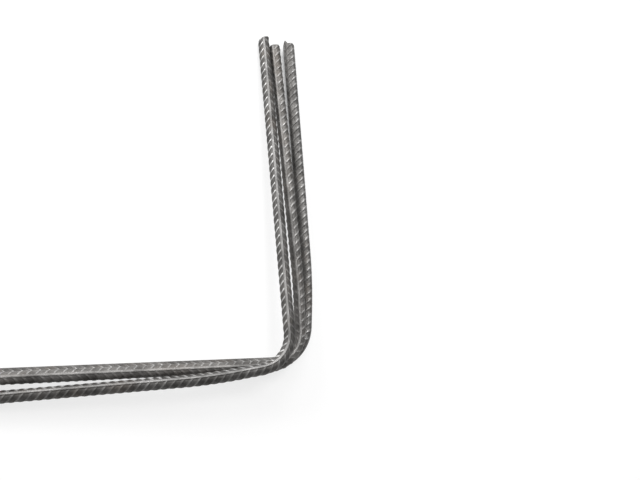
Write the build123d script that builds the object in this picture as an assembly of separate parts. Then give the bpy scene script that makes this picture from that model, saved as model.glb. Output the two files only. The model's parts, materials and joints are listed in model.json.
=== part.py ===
from build123d import *
import math
import os

import numpy as np

# A loose bundle of three deformed reinforcing bars, each bent once into an L,
# with a slight knee beside the bend in the leg that the bender pulled round.
# The lower bar lies flat. The middle bar rests on it, and the top bar rests on both.
# Millimetres, +Z up, the side legs run towards -X and the far legs towards +Y.

# Bar section: a round core with two opposite lengthwise ribs
core_diameter = 11.6
rib_height = 0.85
lengthwise_rib_width = 2.4
lengthwise_rib_crest = 1.3
crest_rounding = 0.3
lengthwise_rib_root = 1.2

# Room left between bars where one rests on another
seat_clearance = 0.2

# Length of the legs, from the corner of the centre lines to the cut end.
# The bars are alike, but two of them were bent nearer to their far end
side_leg = 400.0
far_leg = 388.0
lower_far_shortfall = 11.0
middle_far_shortfall = 10.0

# Inner radius of each bend and the angle between the straight ends of its legs
lower_bend_radius = 40.0
middle_bend_radius = 34.0
top_bend_radius = 34.0
lower_bend_angle = 91.5
middle_bend_angle = 90.9
top_bend_angle = 93.4

# Knee beside each bend: its distance from the corner, its own turn and its gentle radius.
# It is in the far leg of the lower and middle bars, and in the side leg of the top one
knee_distance = 90.0
knee_radius = 600.0
lower_knee_angle = 6.3
middle_knee_angle = 4.0
top_knee_angle = 5.9

# Slant of the sheared far ends and turn of the lengthwise ribs about each bar
lower_shear_angle = 6.0
middle_shear_angle = 4.0
top_shear_angle = 20.0
lower_rib_angle = 90.0
middle_rib_angle = 8.0
top_rib_angle = -13.0

# Length swept beyond the shear cut, which takes it off again
shear_overrun = 2 * core_diameter

# How the upper bars lie: the corner's step from the bar below, in spacings of touching bars,
# and the gap between the two at the far end, beyond that spacing
middle_corner_step = (-0.785, -0.367)
middle_far_gap = 5.2
top_corner_step = (-1.25, -0.054)
top_far_gap = 0.5

core_radius = core_diameter / 2
floor_height = core_radius + rib_height
rib_on_core = core_diameter + rib_height + seat_clearance
half_crest = lengthwise_rib_crest / 2

# Numerical settling: points on each centre line, how much they crowd at its middle,
# halvings of the height that is searched, and passes
line_points = 100
bend_crowding = 0.8
halvings = 24
search_height = 4 * core_diameter
settling_passes = 5


def bar_section():
    """Round core with two lengthwise ribs, at its top and bottom."""
    root = core_radius - lengthwise_rib_root
    half_root = lengthwise_rib_width / 2
    rib = Polygon(
        (-half_root, root), (half_root, root), (half_root, core_radius),
        (half_crest, floor_height), (-half_crest, floor_height), (-half_root, core_radius),
        align=None,
    )
    rib = fillet(rib.vertices().group_by(Axis.Y)[-1], crest_rounding)
    return Circle(core_radius) + rib + Rot(0, 0, 180) * rib


def section_strands():
    """The section as five round strands: the core, and the rounded edges of the two ribs' crests.

    Returns their places across the bar, as rows of the section's x and y, and their radii.
    """
    x = half_crest - crest_rounding
    y = floor_height - crest_rounding
    places = np.array([(0.0, 0.0), (x, y), (-x, y), (x, -y), (-x, -y)])
    radii = np.array([core_radius] + 4 * [crest_rounding])
    return places, radii


class Stirrup:
    """One bent bar: its flat centre line, and the plane in which it comes to rest."""

    def __init__(self, far_leg, bend_radius, bend_angle, knee_angle, knee_in_far_leg, shear_angle, rib_angle):
        self.far_leg = far_leg
        self.shear_angle = shear_angle
        self.rib_angle = rib_angle
        turn = math.radians(180.0 - bend_angle)
        knee = math.radians(knee_angle)
        bend = bend_radius + core_radius
        if knee_in_far_leg:
            headings = np.array([0.0, turn - knee, turn])
            lengths = np.array([side_leg, knee_distance, far_leg - knee_distance])
            self.radii = (bend, knee_radius)
            corner = 1
        else:
            headings = np.array([-knee, 0.0, turn - knee])
            lengths = np.array([side_leg - knee_distance, knee_distance, far_leg])
            self.radii = (knee_radius, bend)
            corner = 2
        directions = np.stack([np.cos(headings), np.sin(headings)], axis=1)
        steps = np.cumsum(lengths[:, None] * directions, axis=0)
        self.points = np.concatenate([np.zeros((1, 2)), steps])
        self.points -= self.points[corner]
        self.side_tip, self.far_tip = self.points[0], self.points[-1]
        self.side_heading, self.far_heading = headings[0], headings[-1]
        self.centre_line()

    def line(self, overrun=0.0):
        """The flat centre line with its bend and knee, drawn on beyond the far end by an overrun."""
        direction = np.array([math.cos(self.far_heading), math.sin(self.far_heading)])
        ends = [*self.points[:-1], self.far_tip + overrun * direction]
        return FilletPolyline([tuple(map(float, end)) for end in ends], radius=self.radii)

    def centre_line(self):
        """Points along the flat centre line, closer together near the bend, and the bar's direction there."""
        even = np.linspace(0.0, 1.0, line_points)
        self.shares = even + bend_crowding * np.sin(2 * np.pi * even) / (2 * np.pi)
        line = self.line()
        self.flat = np.array([tuple(line @ share)[:2] for share in self.shares])
        self.along = np.array([tuple(line % share)[:2] for share in self.shares])

    def place(self, corner, heading):
        """Keep the corner's place on the floor plan and the heading of the far leg there."""
        self.corner = corner
        self.heading = heading

    def rest(self, corner_height, side_height, far_height):
        """Tilt the bar so that its corner and its two ends are at these heights."""
        rises = (side_height - corner_height, far_height - corner_height)
        x_rise, y_rise = np.linalg.solve([self.side_tip, self.far_tip], rises)
        x_run = math.sqrt(1 - x_rise**2)
        y_lean = -y_rise * x_rise / x_run
        y_run = math.sqrt(1 - y_rise**2 - y_lean**2)
        tilted = np.array([[x_run, 0.0, x_rise], [y_lean, y_run, y_rise]])
        far = self.far_tip @ tilted
        spin = self.heading - math.atan2(far[1], far[0])
        cosine, sine = math.cos(spin), math.sin(spin)
        about_z = np.array([[cosine, sine, 0.0], [-sine, cosine, 0.0], [0.0, 0.0, 1.0]])
        self.x_axis, self.y_axis = tilted @ about_z
        self.origin = np.array([*self.corner, corner_height])

    def strands(self):
        """Where the section's strands run in the resting bar: strands by points by x, y and z."""
        places, _ = section_strands()
        cosine, sine = math.cos(math.radians(self.rib_angle)), math.sin(math.radians(self.rib_angle))
        across = (places @ np.array([cosine, -sine]))[:, None]
        down = (places @ np.array([sine, cosine]))[:, None]
        flat_x = (self.flat[:, 0] + across * self.along[:, 1])[..., None]
        flat_y = (self.flat[:, 1] - across * self.along[:, 0])[..., None]
        normal = np.cross(self.x_axis, self.y_axis)
        return self.origin + flat_x * self.x_axis + flat_y * self.y_axis - down[..., None] * normal

    def plane(self):
        """The plane of the resting bar, with its corner as origin."""
        normal = np.cross(self.x_axis, self.y_axis)
        return Plane(origin=tuple(self.origin), x_dir=tuple(self.x_axis), z_dir=tuple(normal))

    def solid(self):
        """Sweep the section along the bent centre line, shear the far end and lay the bar down."""
        heading = self.side_heading
        start = Plane(
            origin=(*self.side_tip, 0),
            x_dir=(math.sin(heading), -math.cos(heading), 0),
            z_dir=(math.cos(heading), math.sin(heading), 0),
        )
        bar = sweep(start * Rot(0, 0, self.rib_angle) * bar_section(), path=self.line(shear_overrun))
        cut_angle = self.far_heading + math.radians(self.shear_angle)
        cut = Plane(origin=(*self.far_tip, 0), z_dir=(math.cos(cut_angle), math.sin(cut_angle), 0))
        return self.plane() * split(bar, bisect_by=cut, keep=Keep.BOTTOM)


def clearance(strands, others):
    """Smallest room between the round strands of one bar and those of another."""
    _, radii = section_strands()
    start, step = others[:, :-1], np.diff(others, axis=1)
    offset = strands[:, :, None, None] - start
    along = np.clip((offset * step).sum(-1) / (step * step).sum(-1), 0.0, 1.0)
    distance = np.linalg.norm(offset - along[..., None] * step, axis=-1)
    return (distance - radii[:, None, None, None] - radii[:, None]).min()


def lowest_clear(room):
    """Lowest height above the floor that leaves room for the seat's clearance, found by halving."""
    low, high = floor_height, floor_height + search_height
    for _ in range(halvings):
        height = (low + high) / 2
        if room(height) < seat_clearance:
            low = height
        else:
            high = height
    return high


def lie_beside(bar, below, corner_step, far_gap):
    """Place a bar on plan: its corner stepped from the one below, its far end beside that bar's."""
    along = np.array([math.cos(below.heading), math.sin(below.heading)])
    across = np.array([-along[1], along[0]])
    step = rib_on_core * np.array(corner_step)
    turn = math.asin((rib_on_core + far_gap - np.dot(step, across)) / bar.far_leg)
    bar.place(below.corner + step, below.heading + turn)


lower = Stirrup(
    far_leg - lower_far_shortfall,
    lower_bend_radius,
    lower_bend_angle,
    lower_knee_angle,
    True,
    lower_shear_angle,
    lower_rib_angle,
)
middle = Stirrup(
    far_leg - middle_far_shortfall,
    middle_bend_radius,
    middle_bend_angle,
    middle_knee_angle,
    True,
    middle_shear_angle,
    middle_rib_angle,
)
top = Stirrup(
    far_leg,
    top_bend_radius,
    top_bend_angle,
    top_knee_angle,
    False,
    top_shear_angle,
    top_rib_angle,
)

# The lower bar lies flat
lower.place(np.zeros(2), math.atan2(lower.far_tip[1], lower.far_tip[0]))
lower.rest(floor_height, floor_height, floor_height)

# The middle bar rests on the lower one at the bend and near its side end; its far end is on the floor
lie_beside(middle, lower, middle_corner_step, middle_far_gap)
outer_half = middle.flat[:, 0] < middle.side_tip[0] / 2
bend_zone = ~outer_half
corner_height = side_height = floor_height + rib_on_core


def middle_room(corner_at, side_at, stretch):
    """Room between a stretch of the middle bar and the lower one."""
    middle.rest(corner_at, side_at, floor_height)
    return clearance(middle.strands()[:, stretch], lower.strands())


for _ in range(settling_passes):
    corner_height = lowest_clear(lambda at: middle_room(at, side_height, bend_zone))
    side_height = lowest_clear(lambda at: middle_room(corner_height, at, outer_half))
middle.rest(corner_height, side_height, floor_height)

# The top bar has both ends on the floor and rests on the others near its bend
lie_beside(top, middle, top_corner_step, top_far_gap)


def top_room(corner_at):
    """Room between the top bar and the two bars under it."""
    top.rest(corner_at, floor_height, floor_height)
    return min(clearance(top.strands(), bar.strands()) for bar in (middle, lower))


top.rest(lowest_clear(top_room), floor_height, floor_height)

# The origin goes to the middle of the underside
nodes = {
    "lower_stirrup": lower.solid(),
    "middle_stirrup": middle.solid(),
    "top_stirrup": top.solid(),
}
box = Compound(list(nodes.values())).bounding_box()
to_origin = Pos(-box.center().X, -box.center().Y, -box.min.Z)

os.makedirs("parts", exist_ok=True)
for name, solid in nodes.items():
    export_step(to_origin * solid, f"parts/{name}.step")
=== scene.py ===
"""The look of a bundle of three rebar stirrups: ribbed bars with mill scale, in a plain studio."""

import json
import logging
import math
from dataclasses import dataclass, field
from enum import Enum
from typing import Any

import bpy
import numpy as np
from mathutils import Matrix


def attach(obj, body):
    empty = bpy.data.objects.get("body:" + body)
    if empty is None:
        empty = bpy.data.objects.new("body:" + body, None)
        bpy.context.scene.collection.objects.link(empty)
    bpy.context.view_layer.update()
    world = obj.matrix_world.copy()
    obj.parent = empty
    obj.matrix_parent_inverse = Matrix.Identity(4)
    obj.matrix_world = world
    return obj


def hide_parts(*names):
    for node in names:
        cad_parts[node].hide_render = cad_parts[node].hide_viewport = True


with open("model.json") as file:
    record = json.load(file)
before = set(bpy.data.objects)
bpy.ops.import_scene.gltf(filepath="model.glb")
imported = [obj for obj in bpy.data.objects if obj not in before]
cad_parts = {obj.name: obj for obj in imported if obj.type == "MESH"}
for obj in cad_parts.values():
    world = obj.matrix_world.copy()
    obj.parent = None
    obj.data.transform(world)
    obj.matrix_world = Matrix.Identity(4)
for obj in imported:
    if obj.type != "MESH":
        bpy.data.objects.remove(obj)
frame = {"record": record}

LOG = logging.getLogger("rebar_stirrups")
BODY = "root"
# Mask of real crest wear together with painted glints.
WEAR_AND_GLINT_MASK = "rib_wear_and_glint"
PATTERN_STEP = 1.7
FULL_TURN = 2 * math.pi
HALF_TURN_DEG = 180.0
MM_PER_M = 1000.0
UPWARD = np.array([0.0, 0.0, 1.0])

Array = np.ndarray
Triple = tuple[float, float, float]
Socket = bpy.types.NodeSocket


class Lean(Enum):
    """Which way the chevrons of the cross ribs point along a bar."""

    TO_FAR_END = 1.0
    TO_SIDE_END = -1.0


class Leg(Enum):
    """The two legs of a bent bar."""

    SIDE = "side"
    FAR = "far"


@dataclass(frozen=True)
class Bend:
    """One turn of a centre line: where it starts along the bar, its radius and its angle."""

    start: float
    radius: float
    turn: float

    @property
    def end(self) -> float:
        """Distance along the bar at which the turn is complete."""
        return self.start + self.radius * self.turn

    def turned(self, along: Array) -> Array:
        """Angle turned through at each distance along the bar, length over radius."""
        return np.clip((along - self.start) / self.radius, 0.0, self.turn)


def smooth_step(low: float, high: float, value: Array) -> Array:
    """Rise from 0 at low to 1 at high along the cubic 3t^2 - 2t^3.

    Args:
        low: Value at which the step starts.
        high: Value at which the step is complete.
        value: Values to map.

    Returns:
        The mapped values, each from 0 to 1.
    """
    t = np.clip((value - low) / (high - low), 0.0, 1.0)
    return t * t * (3.0 - 2.0 * t)


def from_nearest(value: Array, period: float) -> Array:
    """Distance from the nearest multiple of a period, from minus to plus half a period."""
    return (value + period / 2) % period - period / 2


def unit(vector: Array) -> Array:
    """Scale a vector to length 1."""
    return vector / np.linalg.norm(vector)


def grey(value: float) -> Triple:
    """Grey colour with one value for red, green and blue."""
    return (value, value, value)


def direction(azimuth_deg: float, elevation_deg: float) -> Array:
    """Point in a direction given by two angles.

    Args:
        azimuth_deg: Angle round the upright, from x towards y.
        elevation_deg: Angle above the floor.

    Returns:
        The unit vector.
    """
    azimuth, elevation = math.radians(azimuth_deg), math.radians(elevation_deg)
    level = math.cos(elevation)
    return np.array([level * math.cos(azimuth), level * math.sin(azimuth), math.sin(elevation)])


def mount(name: str) -> tuple[Array, Array]:
    """Look up one of the part's mounts.

    Args:
        name: The mount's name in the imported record.

    Returns:
        Its position and its axis.
    """
    found = next(m for m in frame["record"]["mounts"] if m["name"] == name)
    return np.array(found["pos_m"]), np.array(found["axis"])


def link(name: str, data: bpy.types.ID) -> bpy.types.Object:
    """Make an object and link it into the scene.

    Args:
        name: The object's name.
        data: Its mesh, camera or lamp.

    Returns:
        The object.
    """
    made = bpy.data.objects.new(name, data)
    bpy.context.scene.collection.objects.link(made)
    return made


def placed(right: Array, up: Array, back: Array, place: Array) -> Matrix:
    """Set the axes and the place of a camera or lamp side by side, as the columns of its matrix.

    Args:
        right: Its x axis.
        up: Its y axis.
        back: Its z axis, which points away from what it looks at.
        place: Where it stands.

    Returns:
        The matrix from its own frame to the scene's.
    """
    columns = np.stack([right, up, back, place], axis=1)
    return Matrix([*columns.tolist(), [0.0, 0.0, 0.0, 1.0]])


@dataclass(frozen=True)
class RibbedSection:
    """Sizes of the rolled section and its ribs, in metres, the wear of their crests, and where glints and
    light are painted on them.
    """

    # Core, lengthwise ribs and cross ribs
    core_radius: float = 0.0060
    lengthwise_height: float = 0.00070
    lengthwise_root: float = 0.0033
    lengthwise_crest: float = 0.0019
    cross_height: float = 0.00055
    cross_pitch: float = 0.0088
    cross_root: float = 0.0040
    cross_crest: float = 0.0012
    cross_slope_deg: float = 46.0
    cross_ends_deg: tuple[float, float] = (7.0, 20.0)
    height_scatter: float = 0.12

    # Wear of the scale on the rib crests, and painted glints: brighter crests on the side of the bar that
    # faces the lamps, in the side leg and the far leg
    lengthwise_wear: float = 0.62
    glint_side_deg: tuple[float, float] = (-28.0, -28.0)
    glint_reach_deg: tuple[float, float] = (16.0, 42.0)
    glint_wear: float = 1.0
    dull_wear: float = 0.60
    # Painted light: valleys lightened on the side of the bar that faces the lamps.
    valley_light: float = 0.0
    wear_range: tuple[float, float] = (0.45, 0.95)

    # Points round the bar and along it
    rib_angles_deg: tuple[float, ...] = (-12.0, -9.0, -5.6, -2.5, 2.5, 5.6, 9.0, 12.0)
    plain_steps: int = 26
    rows_per_pitch: int = 14

    def angles(self) -> Array:
        """Space the points round the bar, closer together at both lengthwise ribs.

        Returns:
            Angles from the first lengthwise rib.
        """
        rib = np.array(self.rib_angles_deg)
        plain = np.linspace(rib[-1], HALF_TURN_DEG + rib[0], self.plain_steps + 1)[1:-1]
        half = np.concatenate([rib, plain])
        return np.radians(np.concatenate([half, half + HALF_TURN_DEG]))

    def cross_run(self) -> float:
        """Length along the bar that a cross rib takes up between the two lengthwise ribs."""
        return math.pi * self.core_radius / math.tan(math.radians(self.cross_slope_deg))

    @staticmethod
    def from_rib(angle: Array) -> Array:
        """Angle from the nearer of the two lengthwise ribs, which are half a turn apart."""
        return np.abs(from_nearest(angle, FULL_TURN / 2))

    def lengthwise_share(self, angle: Array) -> Array:
        """Height of the lengthwise ribs, as a share of their full height.

        The distance along the arc from the nearer rib goes through a step from root to crest.

        Args:
            angle: Angles from the first rib.

        Returns:
            Shares from 0 on the core to 1 on a crest.
        """
        arc = self.from_rib(angle) * self.core_radius
        return smooth_step(-self.lengthwise_root / 2, -self.lengthwise_crest / 2, -arc)

    def cross_share(self, along: Array) -> Array:
        """Height of a cross rib, as a share of its full height, by distance along the bar.

        The distance from the middle of the nearest rib goes through a step from root to crest.

        Args:
            along: Distance along the bar, following the ribs' slope.

        Returns:
            Shares from 0 in a valley to 1 on a crest.
        """
        from_crest = np.abs(from_nearest(along, self.cross_pitch))
        return smooth_step(-self.cross_root / 2, -self.cross_crest / 2, -from_crest)

    def wear(self, angle: Array, far_share: Array) -> tuple[Array, Array]:
        """Crest wear plus painted glints, by the angle from the side of the bar that faces the lamps.

        Within that side's reach, the crests step from the painted glint value down to the plain wear of
        the other sides.

        Args:
            angle: Angles from the first rib.
            far_share: 0 in the side leg and 1 in the far leg, whose sides with painted glints differ.

        Returns:
            Wear and painted glints of the cross ribs' crests, and painted light in the valleys between
            them.
        """
        side, far = np.radians(self.glint_side_deg)
        off = from_nearest(angle - side - (far - side) * far_share, FULL_TURN)
        # Painted glints: crests brighten towards the side of the bar that faces the lamps, which differs
        # between the legs.
        facing = 1.0 - smooth_step(*self.glint_reach_deg, np.degrees(np.abs(off)))
        crests = self.dull_wear + (self.glint_wear - self.dull_wear) * facing
        return crests, self.valley_light * facing


@dataclass(frozen=True)
class SteelFinish:
    """Hot-rolled bar: dark mill scale, with brighter metal on the crests of its ribs, partly real wear and
    partly painted glints.
    """

    name: str
    offset: Triple
    # Brightness of the bar's whole scale: partly its own tone, partly painted light that lightens the
    # middle bar against the shade of the top bar.
    tone: float
    scale_dark: Triple = (0.088, 0.084, 0.080)
    scale_light: Triple = (0.172, 0.166, 0.160)
    brown: Triple = (0.165, 0.132, 0.106)
    # Colour of bare metal on crests that lost their scale, also the colour of painted glints.
    worn_and_glint: Triple = (0.58, 0.575, 0.57)
    brown_share: float = 0.30
    worn_share: float = 0.8
    wear_patches: float = 0.5
    metallic: float = 0.55
    rough_scale: float = 0.50
    rough_worn: float = 0.25
    rough_specks: float = 0.12
    bump_strength: float = 0.25
    bump_depth: float = 0.0002


@dataclass(frozen=True)
class CutFinish:
    """Sheared end of a bar: pale bare metal with a thin brown bloom."""

    name: str
    offset: Triple
    bare: Triple = (0.46, 0.43, 0.385)
    bloom: Triple = (0.27, 0.225, 0.18)
    metallic: float = 0.5
    roughness: float = 0.48
    bump_strength: float = 0.5
    bump_depth: float = 0.0003


class NodeBoard:
    """A node tree with short calls to add, set and join its nodes."""

    def __init__(self, tree: bpy.types.NodeTree) -> None:
        """Keep the tree and empty it."""
        self.tree = tree
        tree.nodes.clear()

    def add(self, kind: str, inputs: dict[Any, Any] | None = None, **settings: Any) -> bpy.types.Node:
        """Add a node.

        Args:
            kind: Blender's name for the node.
            inputs: Values or output sockets, by the input's name or place.
            settings: The node's own properties.

        Returns:
            The new node.
        """
        node = self.tree.nodes.new(kind)
        for key, value in settings.items():
            setattr(node, key, value)
        for key, value in (inputs or {}).items():
            if isinstance(value, Socket):
                self.tree.links.new(value, node.inputs[key])
            else:
                node.inputs[key].default_value = value
        return node

    def math(self, operation: str, first: Any, second: Any) -> Socket:
        """Join two values by a math node and give its output."""
        return self.add("ShaderNodeMath", {0: first, 1: second}, operation=operation).outputs[0]

    def ramp(self, value: Socket, low: float, high: float) -> Socket:
        """Map a value smoothly from low and high to 0 and 1."""
        inputs = {"Value": value, "From Min": low, "From Max": high, "To Min": 0.0, "To Max": 1.0}
        return self.add("ShaderNodeMapRange", inputs, interpolation_type="SMOOTHSTEP").outputs["Result"]

    def mix(self, share: Socket, first: Any, second: Any) -> Socket:
        """Blend two colours.

        Args:
            share: How much of the second colour shows.
            first: A colour, or the output that gives it.
            second: The other one.

        Returns:
            The output that gives the blend.
        """
        node = self.add("ShaderNodeMix", {"Factor": share}, data_type="RGBA")
        for socket_name, value in (("A_Color", first), ("B_Color", second)):
            socket = next(s for s in node.inputs if s.identifier == socket_name)
            if isinstance(value, Socket):
                self.tree.links.new(value, socket)
            else:
                socket.default_value = (*value, 1.0)
        return next(s for s in node.outputs if s.identifier == "Result_Color")


@dataclass(frozen=True)
class NoiseField:
    """One noise pattern, and the two of its values that are stretched to 0 and 1."""

    scale: float
    detail: float
    roughness: float
    low: float
    high: float


class MottleGroup:
    """Shared effect: the cloudy, speckled unevenness of rolled steel."""

    fields: dict[str, NoiseField] = {
        "Cloud": NoiseField(scale=55.0, detail=4.0, roughness=0.55, low=0.34, high=0.68),
        "Speck": NoiseField(scale=900.0, detail=2.0, roughness=0.5, low=0.32, high=0.70),
        "Brown": NoiseField(scale=24.0, detail=5.0, roughness=0.62, low=0.46, high=0.70),
    }

    def __init__(self) -> None:
        """Build the group: a place goes in, and one value for each field comes out."""
        self.tree = bpy.data.node_groups.new("rolled_mottle", "ShaderNodeTree")
        board = NodeBoard(self.tree)
        face = self.tree.interface
        face.new_socket("Vector", in_out="INPUT", socket_type="NodeSocketVector")
        for name in self.fields:
            face.new_socket(name, in_out="OUTPUT", socket_type="NodeSocketFloat")
        source = board.add("NodeGroupInput")
        sink = board.add("NodeGroupOutput")
        for name, pattern in self.fields.items():
            inputs = {
                "Vector": source.outputs["Vector"],
                "Scale": pattern.scale,
                "Detail": pattern.detail,
                "Roughness": pattern.roughness,
            }
            noise = board.add("ShaderNodeTexNoise", inputs)
            value = board.ramp(noise.outputs["Fac"], pattern.low, pattern.high)
            self.tree.links.new(value, sink.inputs[name])

    def place(self, board: NodeBoard, offset: Triple) -> bpy.types.Node:
        """Add the group to a material, at its own place in the pattern.

        Args:
            board: The material's nodes.
            offset: Shift of the pattern, so that no two bars are marked alike.

        Returns:
            The group's node.
        """
        coordinates = board.add("ShaderNodeTexCoord")
        inputs = {"Vector": coordinates.outputs["Object"], "Location": offset}
        mapping = board.add("ShaderNodeMapping", inputs)
        node = board.add("ShaderNodeGroup", node_tree=self.tree)
        board.tree.links.new(mapping.outputs["Vector"], node.inputs["Vector"])
        return node


class Finishes:
    """Makes the materials of the bars from their finishes."""

    def __init__(self) -> None:
        """Build the shared effect once."""
        self.mottle = MottleGroup()

    @staticmethod
    def board(name: str) -> tuple[bpy.types.Material, NodeBoard]:
        """Start a node material.

        Args:
            name: The material's name.

        Returns:
            The empty material, and the board to fill it.
        """
        material = bpy.data.materials.new(name)
        material.use_nodes = True
        return material, NodeBoard(material.node_tree)

    @staticmethod
    def bump(board: NodeBoard, height: Socket, look: SteelFinish | CutFinish) -> Socket:
        """Turn a height into a normal, as strong and as deep as the finish says."""
        inputs = {"Strength": look.bump_strength, "Distance": look.bump_depth, "Height": height}
        return board.add("ShaderNodeBump", inputs).outputs["Normal"]

    @staticmethod
    def finish(board: NodeBoard, inputs: dict[str, Any]) -> None:
        """End a material in a principled surface with these inputs."""
        surface = board.add("ShaderNodeBsdfPrincipled", inputs)
        board.add("ShaderNodeOutputMaterial", {"Surface": surface.outputs["BSDF"]})

    def steel(self, look: SteelFinish) -> bpy.types.Material:
        """Make the mill-scale material of one bar.

        The clouds blend dark scale into light scale and the brown patches tint it. The mask of crest wear
        and painted glints, thinned by the clouds, blends that into bright bare metal, which is also
        smoother.

        Args:
            look: The finish.

        Returns:
            The material, which reads the mask of crest wear and painted glints.
        """
        material, board = self.board(look.name)
        marks = self.mottle.place(board, look.offset).outputs
        crest = board.add("ShaderNodeAttribute", attribute_name=WEAR_AND_GLINT_MASK).outputs["Fac"]
        # Both scale colours are scaled by the bar's tone, which is partly painted light.
        dark = tuple(look.tone * channel for channel in look.scale_dark)
        light = tuple(look.tone * channel for channel in look.scale_light)
        scale = board.mix(marks["Cloud"], dark, light)
        brown = board.math("MULTIPLY", marks["Brown"], look.brown_share)
        tinted = board.mix(brown, scale, look.brown)
        patchy = board.math("MULTIPLY", marks["Cloud"], look.wear_patches)
        patchy = board.math("ADD", patchy, 1.0 - look.wear_patches)
        # Crest wear with painted glints, thinned by the clouds, blends the scale into bright metal.
        worn_and_glint = board.math("MULTIPLY", crest, patchy)
        worn_and_glint = board.math("MULTIPLY", worn_and_glint, look.worn_share)
        colour = board.mix(worn_and_glint, tinted, look.worn_and_glint)
        rough = board.math("MULTIPLY", worn_and_glint, look.rough_worn - look.rough_scale)
        rough = board.math("ADD", rough, look.rough_scale)
        specks = board.math("MULTIPLY", marks["Speck"], look.rough_specks)
        inputs = {
            "Base Color": colour,
            "Roughness": board.math("ADD", rough, specks),
            "Metallic": look.metallic,
            "Normal": self.bump(board, marks["Speck"], look),
        }
        self.finish(board, inputs)
        return material

    def cut(self, look: CutFinish) -> bpy.types.Material:
        """Make the material of a sheared end, where the clouds blend bare metal into bloom.

        Args:
            look: The finish.

        Returns:
            The material.
        """
        material, board = self.board(look.name)
        marks = self.mottle.place(board, look.offset).outputs
        inputs = {
            "Base Color": board.mix(marks["Cloud"], look.bare, look.bloom),
            "Roughness": look.roughness,
            "Metallic": look.metallic,
            "Normal": self.bump(board, marks["Speck"], look),
        }
        self.finish(board, inputs)
        return material


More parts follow.
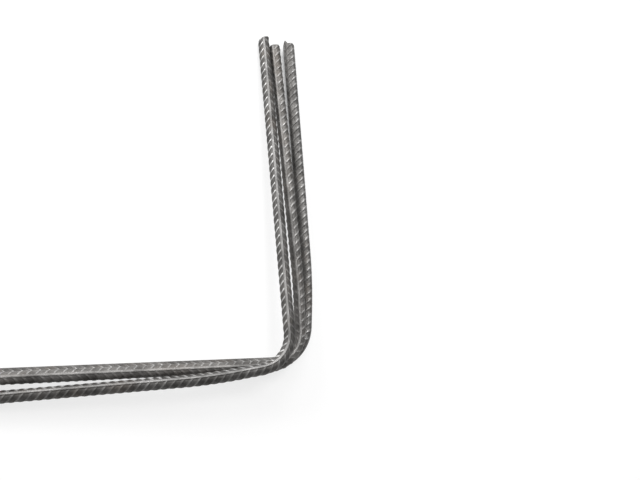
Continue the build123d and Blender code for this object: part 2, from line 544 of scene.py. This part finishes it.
@dataclass
class BentBar:
    """One ribbed bar, bent once: the look of one of the part's stirrups.

    Its place comes from the mounts on its two cut ends. The bend radius is to the bar's inner side.
    """

    # What tells this bar from the others
    name: str
    bend_radius: float
    knee_leg: Leg
    knee_deg: float
    rib_side_deg: float
    rib_far_deg: float
    lean: Lean
    seed: int
    # Brightness of the whole scale: partly its own tone, partly painted light that lightens the middle bar
    # against the top bar's shade.
    tone: float
    section: RibbedSection
    burr_length: float = 0.0
    burr_angle_deg: float = 0.0

    # Centre line
    inner_to_axis: float = 0.0058
    side_leg: float = 0.400
    knee_distance: float = 0.090
    knee_radius: float = 0.600

    # Ribs along the bar: where the twist starts, how soon the side with painted glints changes at the
    # bend, how soon the cross ribs' slope is full, and ribs drawn beyond those that fit
    twist_start: float = 0.370
    glint_change: float = 0.03
    slope_fade: float = 0.016
    spare_ribs: int = 3

    # Cut ends: the shear, the burr, the rounded rim and the uneven face
    shear_fade: float = 0.014
    burr_width_deg: float = 22.0
    burr_fade: float = 0.0035
    rim_depth: float = 0.0006
    rim_length: float = 0.0012
    cap_rings: tuple[float, ...] = (0.93, 0.62, 0.30)
    cap_relief: float = 0.0003
    cap_rough: tuple[float, float] = (-1.0, 0.6)
    cap_flatness: float = 0.7

    # Found from the mounts: ends, axes, the normal of the far cut, the two arcs and the whole length
    side_end: Array = field(init=False, repr=False)
    corner: Array = field(init=False, repr=False)
    x_axis: Array = field(init=False, repr=False)
    y_axis: Array = field(init=False, repr=False)
    z_axis: Array = field(init=False, repr=False)
    far_axis: Array = field(init=False, repr=False)
    cut_normal: Array = field(init=False, repr=False)
    first: Bend = field(init=False, repr=False)
    second: Bend = field(init=False, repr=False)
    length: float = field(init=False, repr=False)

    def locate(self) -> None:
        """Find the bar's plane, bend and knee from the mounts on its ends.

        The knee's own turn is known. The far end then gives the turn of the bend and the rest of the
        length, by the cosine rule where the knee is in the far leg. Each arc takes its radius times
        the tangent of half its turn from the straights that it joins.
        """
        self.side_end, side_axis = mount(f"{self.name}_side_end")
        far_end, self.cut_normal = mount(f"{self.name}_far_end")
        reach = far_end - self.side_end
        self.x_axis = -side_axis
        self.z_axis = unit(np.cross(self.x_axis, reach))
        self.y_axis = np.cross(self.z_axis, self.x_axis)
        x, y = float(reach @ self.x_axis), float(reach @ self.y_axis)
        knee, near = math.radians(self.knee_deg), self.knee_distance
        knee_x, knee_y = near * math.cos(knee), near * math.sin(knee)
        radius = self.bend_radius + self.inner_to_axis
        if self.knee_leg is Leg.FAR:
            first = self.side_leg
            corner_x, corner_y = first, 0.0
            x, y = x - corner_x, y - corner_y
            far = math.sqrt(x * x + y * y - knee_y**2) - knee_x
            lag = math.atan2(far * math.sin(knee), near + far * math.cos(knee))
            turns, radii = (math.atan2(y, x) - lag, knee), (radius, self.knee_radius)
        else:
            first = self.side_leg - near
            corner_x, corner_y = first + knee_x, knee_y
            x, y = x - corner_x, y - corner_y
            far = math.hypot(x, y)
            turns, radii = (knee, math.atan2(y, x) - knee), (self.knee_radius, radius)
        self.corner = self.side_end + corner_x * self.x_axis + corner_y * self.y_axis
        heading = sum(turns)
        self.far_axis = math.cos(heading) * self.x_axis + math.sin(heading) * self.y_axis
        taken = [r * math.tan(turn / 2) for r, turn in zip(radii, turns)]
        self.first = Bend(first - taken[0], radii[0], turns[0])
        self.second = Bend(self.first.end + near - taken[0] - taken[1], radii[1], turns[1])
        self.length = self.second.end + far - taken[1]

    def centre(self, along: Array) -> tuple[Array, Array]:
        """Follow the centre line: straight, arc, straight, arc, straight.

        Each straight adds its length times the cosine and sine of its heading, and each arc adds its
        radius times the change in the sine and cosine of the heading.

        Args:
            along: Distances along the bar from its side end.

        Returns:
            Points on the centre line, and the direction across it to the outer side of the bend.
        """
        first, second = self.first, self.second
        one, two = first.turned(along), second.turned(along)
        runs = (
            (np.minimum(along, first.start), 0.0),
            (np.clip(along - first.end, 0.0, second.start - first.end), first.turn),
            (np.maximum(along - second.end, 0.0), first.turn + second.turn),
        )
        x = sum(length * math.cos(heading) for length, heading in runs)
        y = sum(length * math.sin(heading) for length, heading in runs)
        x = x + first.radius * np.sin(one)
        y = y + first.radius * (1.0 - np.cos(one))
        x = x + second.radius * (np.sin(first.turn + two) - math.sin(first.turn))
        y = y + second.radius * (math.cos(first.turn) - np.cos(first.turn + two))
        heading = (one + two)[..., None]
        points = self.side_end + x[..., None] * self.x_axis + y[..., None] * self.y_axis
        outward = np.sin(heading) * self.x_axis - np.cos(heading) * self.y_axis
        return points, outward

    def relief(self, phase: Array, angle: Array) -> tuple[Array, Array]:
        """Height of the surface above the core, and the mask of crest wear and painted glints.

        A cross rib steps down at its ends, close to the lengthwise ribs, and has its own scatter in
        height. The higher of the two kinds of rib counts. Each kind is marked by its share of its full
        height times its own wear, which for the cross ribs includes painted glints on the side facing
        the lamps, the valleys by their painted light alone, and the greatest of these counts.

        Args:
            phase: Distances along the bar less the cross ribs' slope, rows by angles.
            angle: Angles round the bar.

        Returns:
            Heights in metres and masks of crest wear and painted glints, rows by angles.
        """
        section = self.section
        chance = np.random.default_rng(self.seed)
        count = int(self.length / section.cross_pitch) + self.spare_ribs
        other_side = (np.sin(angle) < 0.0)[None, :]
        along = phase + np.where(other_side, section.cross_pitch / 2, 0.0)
        scatter = 1.0 - section.height_scatter * chance.random((2, count))
        nearest = np.rint(along / section.cross_pitch).astype(int) % count
        own = np.where(other_side, scatter[1][nearest], scatter[0][nearest])
        ends = smooth_step(*section.cross_ends_deg, np.degrees(section.from_rib(angle)))
        cross = section.cross_share(along) * ends[None, :] * own
        lengthwise = np.broadcast_to(section.lengthwise_share(angle), phase.shape)
        height = np.maximum(section.cross_height * cross, section.lengthwise_height * lengthwise)
        # The side with painted glints changes from the side leg's to the far leg's across the bend.
        bend, change = self.side_leg, self.glint_change
        wear, valley = section.wear(angle, smooth_step(bend - change, bend + change, phase))
        # Real crest wear joined with painted glints, and painted light in the valleys; the greatest
        # counts.
        wear_and_glint = np.maximum(np.maximum(wear * cross, valley), section.lengthwise_wear * lengthwise)
        return height, smooth_step(*section.wear_range, wear_and_glint)

    def rib_turn(self, along: Array) -> Array:
        """Turn of the first lengthwise rib about the bar, which twists towards the far end.

        The part of the twist that is left is the square of the share of the length that is left,
        so the twist eases out at the far end.

        Args:
            along: Distances along the bar.

        Returns:
            Angles from the upright of the bar's plane to the outer side of the bend.
        """
        left = np.clip((self.length - along) / (self.length - self.twist_start), 0.0, 1.0)
        return np.radians(self.rib_far_deg + (self.rib_side_deg - self.rib_far_deg) * left**2)

    def end_shift(self, rows: Array, angle: Array, offset: Array) -> Array:
        """Shift along the far leg that shears the far end and draws out its burr.

        At the end, a point slides by its height above the plane of the cut, over the cosine between
        the plane's normal and the leg. The burr is a bell curve round one angle. Both fade inwards.

        Args:
            rows: Distances of the rings along the bar.
            angle: Angles round the bar.
            offset: The points' offsets from the centre line, rows by angles by x, y and z.

        Returns:
            Shifts in metres, rows by angles.
        """
        lag = -(offset @ self.cut_normal) / float(self.far_axis @ self.cut_normal)
        from_burr = from_nearest(angle - math.radians(self.burr_angle_deg), FULL_TURN)
        burr = self.burr_length * np.exp(-((from_burr / math.radians(self.burr_width_deg)) ** 2))
        shear = smooth_step(self.length - self.shear_fade, self.length, rows)[:, None]
        tip = smooth_step(self.length - self.burr_fade, self.length, rows)[:, None]
        return shear * lag + tip * burr[None, :]

    def skin(self) -> tuple[Array, Array]:
        """Carry the ribbed profile along the bent centre line.

        Every row is a ring that zigzags with the slope of the cross ribs, so that each rib lies along
        the rows. The slope fades out at the ends, where the rings settle into the planes of the cuts
        and the radius steps down by the depth of the rounded rim.

        Returns:
            Points, rows by angles by x, y and z, and the masks of crest wear and painted glints of the
            rows and angles.
        """
        section = self.section
        angle = section.angles()
        count = int(self.length / section.cross_pitch * section.rows_per_pitch)
        rows = np.linspace(0.0, self.length, count)
        round_share = np.abs(from_nearest(angle, FULL_TURN)) / math.pi
        slope = self.lean.value * section.cross_run() * (0.5 - round_share)
        to_end = np.minimum(rows, self.length - rows)
        fade = smooth_step(0.0, self.slope_fade, to_end)
        along = rows[:, None] + fade[:, None] * slope[None, :]
        height, crest = self.relief(along - slope[None, :], angle)
        rim = 1.0 - smooth_step(0.0, self.rim_length, to_end)
        radius = section.core_radius + height - self.rim_depth * rim[:, None]
        points, outward = self.centre(along)
        turned = (angle + self.rib_turn(along))[..., None]
        offset = radius[..., None] * (np.cos(turned) * self.z_axis + np.sin(turned) * outward)
        shift = self.end_shift(rows, angle, offset)
        return points + offset + shift[..., None] * self.far_axis, crest

    def cap(self, ring: Array, out: Array) -> Array:
        """Close an end with smaller copies of its last ring, flattened and roughened along its axis.

        Args:
            ring: The last ring of the skin.
            out: Direction out of the end.

        Returns:
            Points of the inner rings, then the middle point, as one list.
        """
        chance = np.random.default_rng(self.seed + len(ring))
        middle = ring.mean(axis=0)
        share = np.array(self.cap_rings)[:, None, None]
        rings = middle + share * (ring - middle)
        proud = (rings - middle) @ out
        rough = self.cap_relief * chance.uniform(*self.cap_rough, rings.shape[:2])
        rings = rings + (rough - self.cap_flatness * proud)[..., None] * out
        return np.concatenate([rings.reshape(-1, 3), middle[None]])

    def faces(self, rows: int, around: int) -> tuple[Array, Array, Array]:
        """Join the grid into quads, and the caps' rings and middles into quads and triangles.

        Args:
            rows: Rings of the skin.
            around: Points in each ring.

        Returns:
            Quads of the skin, quads of the caps and triangles of the caps.
        """
        index = np.arange(around)
        after = (index + 1) % around
        start = (np.arange(rows - 1) * around)[:, None]
        following = start + around
        skin = np.stack([start + index, start + after, following + after, following + index], -1)
        inner = len(self.cap_rings)
        quads, triangles = [], []
        for end, rim in enumerate((0, (rows - 1) * around)):
            first = rows * around + end * (inner * around + 1)
            loops = [rim] + [first + ring * around for ring in range(inner)]
            for wide, narrow in zip(loops, loops[1:]):
                quad = np.stack([wide + index, narrow + index, narrow + after, wide + after], -1)
                quads.append(quad if end == 0 else quad[:, ::-1])
            last, middle = loops[-1], first + inner * around
            fan = np.stack([last + index, np.full(around, middle), last + after], -1)
            triangles.append(fan if end == 0 else fan[:, ::-1])
        return skin.reshape(-1, 4), np.concatenate(quads), np.concatenate(triangles)

    @staticmethod
    def shade(mesh: bpy.types.Mesh, skin_faces: int, rows: int, around: int) -> None:
        """Shade the skin smooth with sharp rims, and give the caps the second material.

        Args:
            mesh: The bar's mesh.
            skin_faces: Faces of the skin, which come first.
            rows: Rings of the skin.
            around: Points in each ring.
        """
        count = len(mesh.polygons)
        mesh.polygons.foreach_set("use_smooth", np.ones(count, dtype=bool))
        material = np.zeros(count, dtype=np.int32)
        material[skin_faces:] = 1
        mesh.polygons.foreach_set("material_index", material)
        ends = np.zeros(len(mesh.edges) * 2, dtype=np.int32)
        mesh.edges.foreach_get("vertices", ends)
        ends = ends.reshape(-1, 2)
        first = (ends < around).all(axis=1)
        last = ((ends >= (rows - 1) * around) & (ends < rows * around)).all(axis=1)
        mesh.edges.foreach_set("use_edge_sharp", first | last)
        mesh.validate()
        mesh.update()

    def build(self) -> bpy.types.Object:
        """Make the bar's mesh with its mask, and set it in place of the part's node.

        Returns:
            The bar's object.
        """
        self.locate()
        points, crest = self.skin()
        rows, around = crest.shape
        caps = [self.cap(points[0], -self.x_axis), self.cap(points[-1], self.cut_normal)]
        vertices = np.concatenate([points.reshape(-1, 3), *caps])
        skin, quads, triangles = self.faces(rows, around)
        mesh = bpy.data.meshes.new(f"{self.name}_bar")
        mesh.from_pydata(vertices.tolist(), [], [*skin.tolist(), *quads.tolist(), *triangles.tolist()])
        mask = np.zeros(len(vertices), dtype=np.float32)
        mask[: crest.size] = crest.ravel()
        mesh.attributes.new(WEAR_AND_GLINT_MASK, "FLOAT", "POINT").data.foreach_set("value", mask)
        self.shade(mesh, len(skin), rows, around)
        bar = link(f"{self.name}_bar", mesh)
        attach(bar, BODY)
        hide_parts(f"{self.name}_stirrup")
        return bar

    def dress(self, bar: bpy.types.Object, finishes: Finishes, offset: Triple) -> None:
        """Give the bar its mill scale, and its caps the finish of sheared ends.

        Args:
            bar: The bar's object.
            finishes: Makes the materials.
            offset: The bar's own place in the pattern of the marks.
        """
        scale = SteelFinish(f"{self.name}_mill_scale", offset, self.tone)
        bar.data.materials.append(finishes.steel(scale))
        bar.data.materials.append(finishes.cut(CutFinish(f"{self.name}_sheared_end", offset)))


@dataclass(frozen=True)
class PhotoView:
    """The photograph's camera, from a fit to the edges of the bars. Metres and degrees."""

    image_width: float = 640.0
    focal_pixels: float = 1133.7
    sensor_mm: float = 36.0
    aim_x: float = 0.03639
    aim_y: float = 0.13982
    distance: float = 1.2874
    heading_deg: float = 32.19
    elevation_deg: float = 62.27
    roll_deg: float = 54.79

    def build(self, corner: Array) -> bpy.types.Object:
        """Make the camera, aimed at a point on the floor beside the lower bar's corner.

        Args:
            corner: Corner of the lower bar's centre line.

        Returns:
            The camera.
        """
        forward = direction(self.heading_deg, -self.elevation_deg)
        level = unit(np.cross(forward, UPWARD))
        roll = math.radians(self.roll_deg)
        right = math.cos(roll) * level + math.sin(roll) * np.cross(level, forward)
        aim = np.array([corner[0] + self.aim_x, corner[1] + self.aim_y, 0.0])
        data = bpy.data.cameras.new("photo_view")
        data.sensor_width = self.sensor_mm
        data.lens = self.focal_pixels / self.image_width * self.sensor_mm
        camera = link("photo_view", data)
        up = np.cross(right, forward)
        camera.matrix_world = placed(right, up, -forward, aim - self.distance * forward)
        bpy.context.scene.camera = camera
        return camera


@dataclass(frozen=True)
class SoftLamp:
    """A square soft lamp that shines at the middle of the part."""

    name: str
    azimuth_deg: float
    elevation_deg: float
    distance: float
    size: float
    power: float

    def build(self) -> bpy.types.Object:
        """Make the lamp at its distance, turned to the origin.

        Returns:
            The lamp, which the camera doesn't see.
        """
        back = direction(self.azimuth_deg, self.elevation_deg)
        side = unit(np.cross(UPWARD, back))
        data = bpy.data.lights.new(self.name, "AREA")
        data.size = self.size
        data.energy = self.power
        lamp = link(self.name, data)
        lamp.matrix_world = placed(side, np.cross(back, side), back, self.distance * back)
        lamp.visible_camera = False
        return lamp


@dataclass(frozen=True)
class Studio:
    """A pale floor, soft lamps and a dim room.

    The lamps stand low at the left, at the back, high at the right and in front.
    """

    floor_size: float = 24.0
    floor_drop: float = 0.0002
    floor_seen: float = 0.93
    floor_bounce: float = 0.30
    floor_shade: float = 0.22
    contact_reach: float = 0.014
    contact_range: tuple[float, float] = (0.04, 0.46)
    contact_shade: float = 0.22
    contact_samples: int = 8
    lamps: tuple[SoftLamp, ...] = (
        SoftLamp("key_lamp", azimuth_deg=135.0, elevation_deg=26.0, distance=2.2, size=0.9, power=50.0),
        SoftLamp("back_lamp", azimuth_deg=90.0, elevation_deg=42.0, distance=2.2, size=1.1, power=29.0),
        SoftLamp("high_lamp", azimuth_deg=45.0, elevation_deg=63.0, distance=2.3, size=1.1, power=32.0),
        SoftLamp("fill_lamp", azimuth_deg=262.0, elevation_deg=35.0, distance=2.4, size=1.3, power=4.5),
    )
    room_colour: Triple = (1.0, 1.0, 1.0)
    room_strength: float = 0.12

    def floor_material(self) -> bpy.types.Material:
        """Make the floor's material: white to the camera and in reflections, with some of its true shade.

        The white darkens close to the part, by the share of the surroundings that the part hides there.

        Returns:
            The material.
        """
        material, board = Finishes.board("pale_floor")
        path = board.add("ShaderNodeLightPath").outputs
        seen = board.math("MAXIMUM", path["Is Camera Ray"], path["Is Glossy Ray"])
        seen = board.math("MAXIMUM", seen, path["Is Transmission Ray"])
        colour = board.mix(seen, grey(self.floor_bounce), grey(self.floor_seen))
        plain = board.add("ShaderNodeBsdfDiffuse", {"Color": colour}).outputs["BSDF"]
        reach = {"Distance": self.contact_reach}
        near = board.add("ShaderNodeAmbientOcclusion", reach, samples=self.contact_samples)
        lit = board.ramp(near.outputs["AO"], *self.contact_range)
        lit = board.math("MULTIPLY", lit, 1.0 - self.contact_shade)
        lit = board.math("ADD", lit, self.contact_shade)
        white = board.add("ShaderNodeEmission", {"Strength": lit}).outputs["Emission"]
        share = board.math("MULTIPLY", seen, 1.0 - self.floor_shade)
        surface = board.add("ShaderNodeMixShader", {0: share, 1: plain, 2: white})
        board.add("ShaderNodeOutputMaterial", {"Surface": surface.outputs["Shader"]})
        return material

    def floor(self) -> bpy.types.Object:
        """Make the floor, a square just under the part.

        Returns:
            The floor.
        """
        half = self.floor_size / 2
        corners = [(-half, -half), (half, -half), (half, half), (-half, half)]
        mesh = bpy.data.meshes.new("floor")
        mesh.from_pydata([(x, y, -self.floor_drop) for x, y in corners], [], [(0, 1, 2, 3)])
        mesh.materials.append(self.floor_material())
        floor = link("floor", mesh)
        return floor

    def build(self) -> None:
        """Set up the floor, the lamps, the room's light and the view transform."""
        self.floor()
        for lamp in self.lamps:
            lamp.build()
        world = bpy.data.worlds.new("room")
        world.use_nodes = True
        background = world.node_tree.nodes["Background"]
        background.inputs["Color"].default_value = (*self.room_colour, 1.0)
        background.inputs["Strength"].default_value = self.room_strength
        bpy.context.scene.world = world
        bpy.context.scene.view_settings.view_transform = "Standard"


BARS = (
    BentBar(
        name="lower",
        bend_radius=0.040,
        knee_leg=Leg.FAR,
        knee_deg=6.3,
        rib_side_deg=90.0,
        rib_far_deg=90.0,
        lean=Lean.TO_FAR_END,
        seed=11,
        tone=0.8,
        burr_length=0.0045,
        burr_angle_deg=205.0,
        section=RibbedSection(
            cross_height=0.00065,
            glint_side_deg=(-98.0, -74.0),
            glint_reach_deg=(8.0, 30.0),
            glint_wear=0.90,
            dull_wear=0.60,
            # Painted light in the valleys on this bar's lamp-facing side.
            valley_light=0.62,
        ),
    ),
    BentBar(
        name="middle",
        bend_radius=0.034,
        knee_leg=Leg.FAR,
        knee_deg=4.0,
        rib_side_deg=-6.0,
        rib_far_deg=-38.0,
        lean=Lean.TO_SIDE_END,
        seed=23,
        tone=1.02,
        section=RibbedSection(
            lengthwise_root=0.0035,
            lengthwise_crest=0.0021,
            lengthwise_wear=0.58,
            glint_side_deg=(-28.0, 36.0),
            glint_reach_deg=(26.0, 62.0),
            glint_wear=0.77,
            dull_wear=0.54,
        ),
    ),
    BentBar(
        name="top",
        bend_radius=0.034,
        knee_leg=Leg.SIDE,
        knee_deg=5.9,
        rib_side_deg=-18.0,
        rib_far_deg=-12.0,
        lean=Lean.TO_FAR_END,
        seed=37,
        tone=0.62,
        section=RibbedSection(
            cross_height=0.00048,
            lengthwise_root=0.0035,
            lengthwise_crest=0.0021,
            lengthwise_wear=0.64,
            dull_wear=0.66,
        ),
    ),
)


def main() -> None:
    """Build the bars, dress them, and set up the studio and the photograph's view."""
    logging.basicConfig(level=logging.INFO, format="%(name)s: %(message)s")
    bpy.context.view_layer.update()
    finishes = Finishes()
    for place, bar in enumerate(BARS):
        piece = bar.build()
        shift = place * PATTERN_STEP
        bar.dress(piece, finishes, (shift, -shift, shift))
        LOG.info("%s: %d faces, %.0f mm long", piece.name, len(piece.data.polygons), MM_PER_M * bar.length)
    PhotoView().build(BARS[0].corner)
    Studio().build()


if __name__ == "__main__":
    main()
